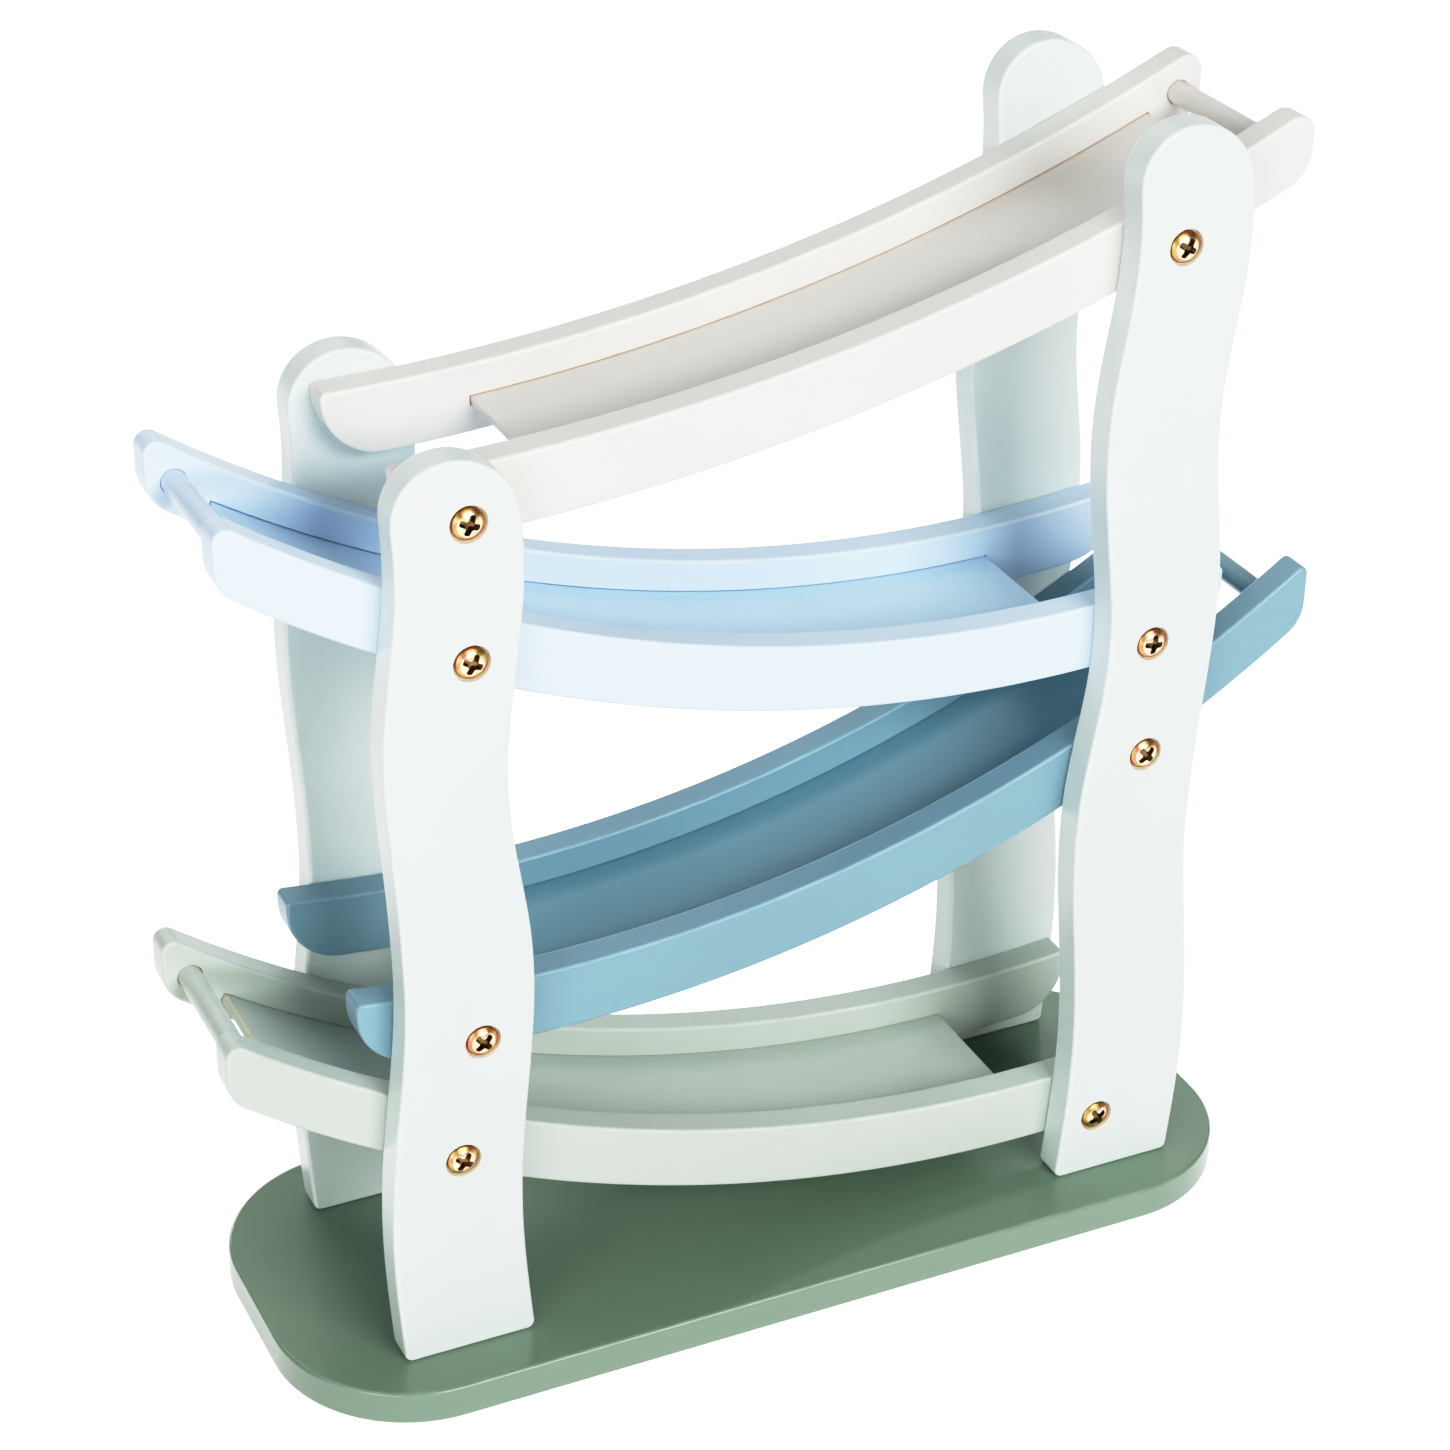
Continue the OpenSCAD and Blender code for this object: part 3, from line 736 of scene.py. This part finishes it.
def screw_mesh():
    """A pan-head screw with its seat at the origin and its head towards +Z."""
    turned = revolved(screw_profile())
    # Rim faces take the darker rim zinc: painted shade and reflection over the plate's tints
    for face in turned.faces:
        middle = face.calc_center_median()
        if middle.z > 0 and middle.xy.length > RIM_SHARE * HEAD_RADIUS:
            face.material_index = SCREW_PLATE_AND_SHADE.index(RIM_SHADED_ZINC)
    body = as_object(turned, "screw_body")
    cutter = as_object(cross_cutter(), "screw_cutter")
    for obj in (body, cutter):
        for material in SCREW_PLATE_AND_SHADE:
            obj.data.materials.append(material)
    cut = body.modifiers.new("cross", "BOOLEAN")
    cut.object = cutter
    cut.operation = "DIFFERENCE"
    cut.solver = "EXACT"
    ready = body.evaluated_get(bpy.context.evaluated_depsgraph_get())
    mesh = bpy.data.meshes.new_from_object(ready)
    for obj in (body, cutter):
        bpy.data.objects.remove(obj)
    return mesh


def make_rail_screws():
    chance = random.Random(BACK_TURNS_SEED)
    one = screw_mesh()
    bm = bmesh.new()
    for depth, up in (("front", -1), ("back", 1)):
        for end in ENDS:
            node = f"{depth}_{end}_post"
            lo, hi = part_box(node)
            face = lo.y if up < 0 else hi.y
            centres = [centre_and_radius(recess)[0] for recess in flat_loops(node, Y, face)[1:]]
            for k, centre in enumerate(sorted(centres, key=lambda c: -c.y)):
                seat = Matrix.Translation((centre.x, face - up * SCREW_SEAT, centre.y))
                faced = Matrix.Rotation(-up * QUARTER_TURN, 4, "X")
                turn = math.radians(FRONT_TURNS[end][k]) if up < 0 else chance.uniform(0, QUARTER_TURN)
                spin = Matrix.Rotation(turn, 4, "Z")
                copy = one.copy()
                copy.transform(seat @ faced @ spin)
                bm.from_mesh(copy)
                bpy.data.meshes.remove(copy)
    bpy.data.meshes.remove(one)
    obj = as_object(bm, "pan_screws")
    for material in SCREW_PLATE_AND_SHADE:
        obj.data.materials.append(material)
    obj.data.shade_smooth()
    obj.data.set_sharp_from_angle(angle=SHARP_ANGLE)
    dress(obj, "rail_screws")


make_base()
for depth in ("front", "back"):
    for end in ENDS:
        make_post(depth, end)
    for name in RAMPS:
        make_rail(name, depth)
for name in RAMPS:
    make_floor(name)
    make_dowel(name)
make_rail_screws()
nodes["foot_screws"].data.materials.clear()
nodes["foot_screws"].data.materials.append(BRIGHT_ZINC)


# Stage, light and camera

STAGE_RADIUS = 15
STAGE_CELLS = 8
STAGE_GAP = 0.05 * MM
STAGE_TONES = (0.86, 0.88)
FLOOR_GLOW, DOME_GLOW = 1.4, 2.2
DOME_RISES = [math.radians(12 * k) for k in range(8)]

LIGHT_DISTANCE = 1.55
LIGHT_AIM = Vector((0, 0, 0.15))
# Name, azimuth and elevation in degrees, width and height in metres, watts
SOFT_BOXES = (
    ("key", 10, 25, (0.9, 0.6), 19.8),
    ("left_fill", -60, 27, (0.8, 0.8), 3.6),
    ("low_fill", -45, 8, (0.8, 0.5), 7),
    ("top_back", 180, 51, (1.2, 0.7), 4.5),
    ("back_right", 130, 25, (0.8, 0.6), 2),
    ("rear", 180, 9, (1.0, 0.6), 9),
)
# Strength of the world's light by height, from 0, straight down, to 1, straight up
WORLD_LEVELS = ((0.48, 0.46), (0.52, 0.16), (0.84, 0.16), (0.9, 0.44))

CAMERA_ANGLES = (-25.861, 29.177, 1.004)  # azimuth, elevation and roll in degrees
CAMERA_TARGET = Vector((-4.73, 0, 146.19)) * MM
CAMERA_DISTANCE = 842.2 * MM
SENSOR_WIDTH = 36
FOCAL_PIXELS, PHOTO_PIXELS = 3435, 1450

# The view's curve: where shade starts to deepen and by what power, and where light starts to roll off
KNEE, SHADE_POWER, SHOULDER = 0.45, 1.35, 0.5
BRIGHTEST = 2.0
CURVE_LIGHTS = (0.02, 0.05, 0.1, 0.2, 0.3, 0.45, 0.6, 0.8, 1.0, 1.25, 1.6)
COMBINED_CURVE = 3


def stage_white(name, glow):
    mat, tree, shader = new_material(name)
    stops = [(place, (tone,) * 3) for place, tone in zip((NOISE_LOW, NOISE_HIGH), STAGE_TONES)]
    tone = ramp(tree, noise(tree, scale=1.5), stops)
    tree.links.new(tone, shader.inputs["Base Color"])
    shader.inputs["Roughness"].default_value = 0.9
    shader.inputs["Emission Color"].default_value = (1, 1, 1, 1)
    shader.inputs["Emission Strength"].default_value = glow
    return mat


def make_stage():
    """A pale floor and a pale dome over it. Neither lights nor shades the object, but its gloss shows the
    floor."""
    grid = bmesh.new()
    bmesh.ops.create_grid(grid, x_segments=STAGE_CELLS, y_segments=STAGE_CELLS, size=STAGE_RADIUS)
    floor = as_object(grid, "stage_floor")
    floor.data.materials.append(stage_white("stage_floor_white", FLOOR_GLOW))
    arch = [(STAGE_RADIUS * math.cos(rise), STAGE_RADIUS * math.sin(rise)) for rise in DOME_RISES]
    dome = as_object(revolved([*arch, (0, STAGE_RADIUS)]), "stage_dome")
    dome.data.materials.append(stage_white("stage_dome_white", DOME_GLOW))
    dome.visible_glossy = False
    for obj in (floor, dome):
        obj.location.z = -STAGE_GAP
        obj.visible_diffuse = obj.visible_shadow = False


def direction(azimuth, elevation):
    """Direction from the object, in radians. Azimuth 0 is in front, and a quarter turn is on the right."""
    flat = math.cos(elevation)
    return Vector((math.sin(azimuth) * flat, -math.cos(azimuth) * flat, math.sin(elevation)))


def soft_box(name, azimuth, elevation, size, watts):
    """A soft box that faces the object."""
    away = direction(math.radians(azimuth), math.radians(elevation))
    light = bpy.data.lights.new(name, "AREA")
    light.shape = "RECTANGLE"
    light.size, light.size_y = size
    light.energy = watts
    obj = bpy.data.objects.new(name, light)
    obj.location = LIGHT_AIM + away * LIGHT_DISTANCE
    obj.rotation_euler = away.to_track_quat("Z", "Y").to_euler()
    bpy.context.scene.collection.objects.link(obj)


def make_world():
    """White light from all round: most from below, as a pale floor throws it back, least at the horizon."""
    world = bpy.data.worlds.new("studio")
    world.use_nodes = True
    tree = world.node_tree
    where = node_of(tree, "ShaderNodeTexCoord")
    parts = node_of(tree, "ShaderNodeSeparateXYZ", {"Vector": where.outputs["Generated"]})
    height = node_of(tree, "ShaderNodeMapRange", {
        "Value": parts.outputs["Z"], "From Min": -1, "From Max": 1})
    stops = [(place, (strength,) * 3) for place, strength in WORLD_LEVELS]
    level = ramp(tree, height.outputs["Result"], stops)
    tree.links.new(level, tree.nodes["Background"].inputs["Color"])
    bpy.context.scene.world = world


def make_camera():
    azimuth, elevation, roll = (math.radians(a) for a in CAMERA_ANGLES)
    back = direction(azimuth, elevation)
    level = Vector((math.cos(azimuth), math.sin(azimuth), 0))
    upright = back.cross(level)
    right = math.cos(roll) * level + math.sin(roll) * upright
    up = math.cos(roll) * upright - math.sin(roll) * level
    camera = bpy.data.cameras.new("camera")
    camera.sensor_fit = "HORIZONTAL"
    camera.sensor_width = SENSOR_WIDTH
    camera.lens = SENSOR_WIDTH * FOCAL_PIXELS / PHOTO_PIXELS
    obj = bpy.data.objects.new("camera", camera)
    obj.matrix_world = Matrix((right, up, back)).transposed().to_4x4()
    obj.matrix_world.translation = CAMERA_TARGET + back * CAMERA_DISTANCE
    bpy.context.scene.collection.objects.link(obj)
    bpy.context.scene.camera = obj


def shown(light):
    """What the view makes of a level of light: deeper shade below the knee, a roll-off past the shoulder."""
    if light < KNEE:
        level = KNEE * (light / KNEE) ** SHADE_POWER
    else:
        level = KNEE + SHADE_POWER * (light - KNEE)
    if level < SHOULDER:
        return level
    room = 1 - SHOULDER
    return SHOULDER + room * (1 - math.exp((SHOULDER - level) / room))


def make_view():
    view = bpy.context.scene.view_settings
    view.view_transform = "Standard"
    view.use_curve_mapping = True
    view.curve_mapping.white_level = (BRIGHTEST,) * 3
    curve = view.curve_mapping.curves[COMBINED_CURVE]
    for light in CURVE_LIGHTS:
        curve.points.new(light / BRIGHTEST, shown(light))
    view.curve_mapping.update()


make_stage()
make_world()
for row in SOFT_BOXES:
    soft_box(*row)
make_camera()
make_view()
